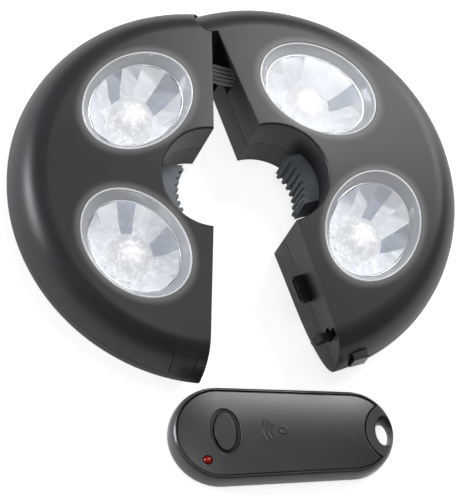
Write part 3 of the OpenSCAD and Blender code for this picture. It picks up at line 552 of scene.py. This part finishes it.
def reflector(level, side, seed):
    """Bright bowl pressed in panels, each flat across and curved in depth, with a rolled rim; each panel's
    material carries a painted reflection and a painted glow.
    """
    at = lamp_frame(level, side)
    node = f"{level}_{side}_reflector"
    bm = bmesh.new()
    borders = panel_angles(seed)
    depth = [0, 0.03, 0.07, 0.12, 0.2, 0.3, 0.42, 0.55, 0.7, 0.85, 1.0]
    for k, start in enumerate(borders):
        stop = borders[k + 1] if k + 1 < len(borders) else borders[0] + 1
        grid = []
        for t in depth:
            half = (bowl_half(t, RIM[0]), bowl_half(t, RIM[1]))
            z = -RIM_DEPTH - t * BOWL_DEPTH
            a, b = math.tau * start, math.tau * stop
            row = []
            for c in range(PANEL_COLUMNS + 1):
                s = c / PANEL_COLUMNS
                flat = on_oval(half, a).lerp(on_oval(half, b), s)
                mixed = on_oval(half, a + (b - a) * s).lerp(flat, PANEL_FLATNESS)
                row.append(bm.verts.new(Vector((mixed.x, mixed.y, z)) * MM))
            grid.append(row)
        middle = math.pi * (start + stop)
        # painted reflection: the panel's material stands in for what it mirrors
        tone = painted_reflection_of_panel(at.to_3x3() @ Vector((math.cos(middle), math.sin(middle), 0)), k + int(seed))
        for r1, r2 in zip(grid, grid[1:]):
            for c in range(PANEL_COLUMNS):
                f = bm.faces.new((r1[c], r1[c + 1], r2[c + 1], r2[c]))
                f.material_index = tone
                f.smooth = True
    roll = rolled((0.1, -RIM_DEPTH), (0.55, 0.35))
    skin(bm, [oval_ring((RIM[0] + t, RIM[1] + t), z) for t, z in roll], loop=True)
    bmesh.ops.transform(bm, matrix=at, verts=bm.verts)
    if at.determinant() < 0:
        bmesh.ops.reverse_faces(bm, faces=bm.faces)
    o = object_from(bm, node + "_bowl")
    for p in o.data.polygons:
        p.use_smooth = True
    for name in ("reflector", "reflector_painted_shade", "reflector_painted_glow"):
        o.data.materials.append(mats[name])
    finish_piece(o, node)


def light_cover(level, side):
    """Pillowed dome over the diodes: one swelling for each diode and a ring of small ones."""
    at = lamp_frame(level, side)
    node = f"{level}_{side}_leds"
    radius, height = NECK_R - 0.2, DOME_H
    swellings = [(0.0, 0.0)]
    for r, count in ((7, 6), (11.2, 14)):
        turns = [math.tau * k / count for k in range(count)]
        swellings += [(r * math.cos(a), r * math.sin(a)) for a in turns]

    def surface(x, y):
        q = min(1.0, math.hypot(x, y) / radius)
        base = height * 0.93 * math.sqrt(max(0.0, 1 - q ** 2.3))
        swell = sum(0.8 * math.exp(-((x - u) ** 2 + (y - v) ** 2) / 4.2) for u, v in swellings)
        return base + min(0.84, swell) * (1 - q ** 6)

    bm = bmesh.new()
    n = 96
    rings = []
    for k in range(30):
        r = radius * math.sin(0.5 * math.pi * (k + 1) / 30)
        row = [(r * math.cos(math.tau * i / n), r * math.sin(math.tau * i / n)) for i in range(n)]
        rings.append([Vector((x, y, surface(x, y))) * MM for x, y in row])
    rings.append([Vector((p.x, p.y, 0)) for p in rings[-1]])
    skin(bm, rings)
    bmesh.ops.recalc_face_normals(bm, faces=bm.faces)
    shade(bm, 60)
    base = Matrix.Translation((0, 0, -(RIM_DEPTH + BOWL_DEPTH) * MM))
    o = object_from(bm, node + "_dome", at @ base)
    if at.determinant() < 0:
        o.data.flip_normals()
    finish_piece(o, node)


# ---- springs ----
COIL_STEPS, WIRE_SIDES = 24, 8


def coil(node, side, axis, seat_last, turns, wire):
    """Wire coil in the node's place, wound along the given axis."""
    frame_in = half_frame(side)
    points = [frame_in.inverted() @ v.co / MM for v in nodes[node].data.vertices]
    low, high = ([pick(p[i] for p in points) for i in range(3)] for pick in (min, max))
    middle = [(a + b) / 2 for a, b in zip(low, high)]
    radius = (high[2] - low[2]) / 2 - wire
    length = high[axis] - low[axis]
    steps = turns * COIL_STEPS
    rings = []
    for i in range(steps + 1):
        a = math.tau * turns * i / steps
        wide = Vector((math.cos(a), math.sin(a)))
        centre = Vector(middle)
        centre[axis] = low[axis] + wire + (length - 2 * wire) * i / steps
        out = Vector((0, 0, wide.y))
        out[1 - axis] = wide.x
        along = Vector((0, 0, 0))
        along[axis] = 1
        rings.append([(centre + out * (radius + wire * math.cos(b)) + along * (wire * math.sin(b))) * MM
                      for b in [math.tau * k / WIRE_SIDES for k in range(WIRE_SIDES)]])
    bm = bmesh.new()
    skin(bm, rings)
    o = finish_piece(baked(bm, node + "_coil", frame_in, 60), node)
    seat, push = Vector(middle), Vector((0, 0, 0))
    seat[axis] = high[axis] if seat_last else low[axis]
    push[axis] = 1
    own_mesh(o)


# ---- leads across the hinge ----
LEAD_R, LEAD_PITCH, LEAD_COUNT = 0.85, 2.1, 5
TERMINAL = (-24.0, HINGE_Y - 32.0)
LEAD_Y = HINGE_Y - 26.0


def on_board(x, y, z):
    """Point in mm given from the middle of the main board."""
    a = math.radians(180 - LAMP_ANGLE)
    out = LAMP_R + 4 + x
    return Vector((math.cos(a) * out - math.sin(a) * y, math.sin(a) * out + math.cos(a) * y, z))


def opened(x, y, z):
    return twin() @ (Vector((x, y, z)) * MM) / MM


LEAD_ROUTE = [
    on_board(2, -27.1, 10.6), on_board(2, -30, 10.8), Vector((-20.5, LEAD_Y - 1.2, 13.4)),
    Vector((-15, LEAD_Y + 0.6, 18)), Vector((-9, LEAD_Y + 1.4, 22)), Vector((-2.5, LEAD_Y + 1.2, 25)),
    Vector((3.5, LEAD_Y + 0.2, 26.3)), Vector((9.5, LEAD_Y - 0.9, 26.5)), Vector((16, LEAD_Y - 0.8, 25.4)),
    opened(TERMINAL[0] + 8.5, TERMINAL[1], 22), opened(TERMINAL[0] + 5.1, TERMINAL[1], 21.4),
]


def smooth_route(points, steps):
    """Curve through the points, straight at both ends."""
    full = [2 * points[0] - points[1], *points, 2 * points[-1] - points[-2]]
    out = []
    for p0, p1, p2, p3 in zip(full, full[1:], full[2:], full[3:]):
        for k in range(steps):
            t = k / steps
            out.append(0.5 * (2 * p1 + (p2 - p0) * t + (2 * p0 - 5 * p1 + 4 * p2 - p3) * t * t
                              + (3 * p1 - p0 - 3 * p2 + p3) * t ** 3))
    return out + [points[-1]]


def leads():
    """Five sheathed strands side by side; each one is slightly ridged by its twisted wires."""
    bm = bmesh.new()
    route = smooth_route(LEAD_ROUTE, 12)
    for j in range(LEAD_COUNT):
        offset = (j - (LEAD_COUNT - 1) / 2) * LEAD_PITCH
        rings = []
        for i, p in enumerate(route):
            along = (route[min(i + 1, len(route) - 1)] - route[max(i - 1, 0)]).normalized()
            side = Vector((0, 0, 1)).cross(along).normalized()
            up = along.cross(side)
            centre = p + offset * (side + Vector((0, 0, 0.2)))
            ring = []
            for k in range(20):
                a = math.tau * k / 20
                r = LEAD_R * (1 + 0.05 * math.sin(5 * a + 0.55 * i + j))
                ring.append((centre + r * (math.cos(a) * side + math.sin(a) * up)) * MM)
            rings.append(ring)
        skin(bm, rings)
    bmesh.ops.recalc_face_normals(bm, faces=bm.faces)
    shade(bm, 60)
    o = object_from(bm, "hinge_leads")
    o.data.materials.append(mats["cable_sheath"])
    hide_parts("hinge_cable")
    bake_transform(o)


# ---- floor and light ----
def make_floor():
    """White ground; camera rays and mirror rays see it lit, and the object's shadow stays on it."""
    bm = bmesh.new()
    bmesh.ops.create_grid(bm, x_segments=2, y_segments=2, size=4.0)
    floor = object_from(bm, "floor", Matrix.Translation((0, 0, -0.0003)))
    t = Tree("floor")
    plain = t.add("ShaderNodeBsdfDiffuse", {"Color": (0.9, 0.9, 0.9, 1)})
    glow = t.add("ShaderNodeEmission", {"Color": (1, 1, 1, 1)})
    rays = t.add("ShaderNodeLightPath")
    seen = t.add("ShaderNodeMath", {1: 0.82}, operation="MULTIPLY")
    mirrored = t.add("ShaderNodeMath", {1: 0.35}, operation="MULTIPLY_ADD")
    both = t.add("ShaderNodeAddShader")
    t.join(rays, "Is Camera Ray", seen, 0)
    t.join(rays, "Is Glossy Ray", mirrored, 0)
    t.join(seen, "Value", mirrored, 2)
    t.join(mirrored, "Value", glow, "Strength")
    t.join(plain, "BSDF", both, 0)
    t.join(glow, "Emission", both, 1)
    below = t.add("ShaderNodeNewGeometry")
    clear = t.add("ShaderNodeBsdfTransparent")
    sided = t.add("ShaderNodeMixShader")
    t.join(below, "Backfacing", sided, "Fac")
    t.join(both, "Shader", sided, 1)
    t.join(clear, "BSDF", sided, 2)
    t.join(sided, "Shader", t.out, "Surface")
    floor.data.materials.append(t.material)


LIGHT_DISTANCE = 1.6


def lamp_at(name, azimuth, elevation, watts, size=0.8, color=(1, 1, 1)):
    """Round soft light that looks at the part from a direction in degrees."""
    light = bpy.data.lights.new(name, "AREA")
    light.shape = "DISK"
    light.energy, light.size, light.color = watts, size, color
    o = bpy.data.objects.new(name, light)
    bpy.context.scene.collection.objects.link(o)
    a, e = math.radians(azimuth), math.radians(elevation)
    away = Vector((math.cos(e) * math.cos(a), math.cos(e) * math.sin(a), math.sin(e)))
    o.location = LIGHT_DISTANCE * away
    o.rotation_euler = (-away).to_track_quat("-Z", "Y").to_euler()


def make_light():
    world = bpy.data.worlds.new("world")
    bpy.context.scene.world = world
    world.use_nodes = True
    sky = world.node_tree.nodes["Background"]
    sky.inputs["Color"].default_value = (1, 1, 1, 1)
    rays = world.node_tree.nodes.new("ShaderNodeLightPath")
    strength = world.node_tree.nodes.new("ShaderNodeMapRange")
    strength.inputs["To Min"].default_value = 0.1
    world.node_tree.links.new(rays.outputs["Is Camera Ray"], strength.inputs["Value"])
    world.node_tree.links.new(strength.outputs["Result"], sky.inputs["Strength"])
    lamp_at("back_right", 42, 36, 7.2, color=(1, 0.98, 0.95))
    lamp_at("low_right", 45, 12, 4.5)
    lamp_at("low_left", 172, 6, 15, color=(0.95, 0.97, 1))
    lamp_at("low_back", 158, 5, 3, color=(0.95, 0.97, 1))
    lamp_at("top", 0, 89, 2.4)
    lamp_at("mirror", 63, 53, 3.9, 0.36)


make_camera()
for node, o in nodes.items():
    o.data.materials.clear()
    o.data.materials.append(mats[slot_of[node]])

for side in ("left", "right"):
    cover(f"{side}_base_cover", side)
    front = cover(f"{side}_front_cover", side)
    # the front cover gets its own copy of its material, which carries the painted halo round the lamps
    front.data.materials[0] = mats["front_shell"].copy()
    painted_lamp_halo(front.data.materials[0], side)
    polished(f"{side}_battery_door", bevel=0.15)
    polished(f"{side}_cover_screws", bevel=0.1)
    polished(f"{side}_door_screw", bevel=0.08)
    polished(f"{side}_grip_pad", bevel=0.3, segments=3)
    polished(f"{side}_pad_carrier", bevel=0.2)
    for number, level in enumerate(("upper", "lower")):
        lens(level, side)
        reflector(level, side, number + (2.6 if side == "right" else 0.0))
        light_cover(level, side)
for node, width in {"left_release_button": 0.25, "power_slider": 0.15, "switch_body": 0.2, "hinge_pin": 0.2,
                    "locating_tab": 0.3, "right_latch": 0.35, "remote_button": 0.4, "remote_led": 0.0,
                    "remote_cell_door": 0.2, "remote_screws": 0.08}.items():
    polished(node, bevel=width, segments=3)
polished("remote_base", sharp=42, bevel=0.25, segments=2, limit=50)
plate = polished("remote_face_plate", sharp=42, bevel=0.35, segments=3, limit=50, reshape=crowned)
# second material of the plate: painted shade in the sunk ring round the button
plate.data.materials.append(mats["remote_dish_painted_shade"])
coil("left_pad_spring", "left", 0, False, 7, 0.5)
coil("right_pad_spring", "right", 0, False, 7, 0.5)
coil("left_button_spring", "left", 1, True, 6, 0.35)
coil("right_latch_spring", "right", 1, True, 6, 0.35)
leads()
make_floor()
make_light()

bpy.context.scene.view_settings.view_transform = "Standard"
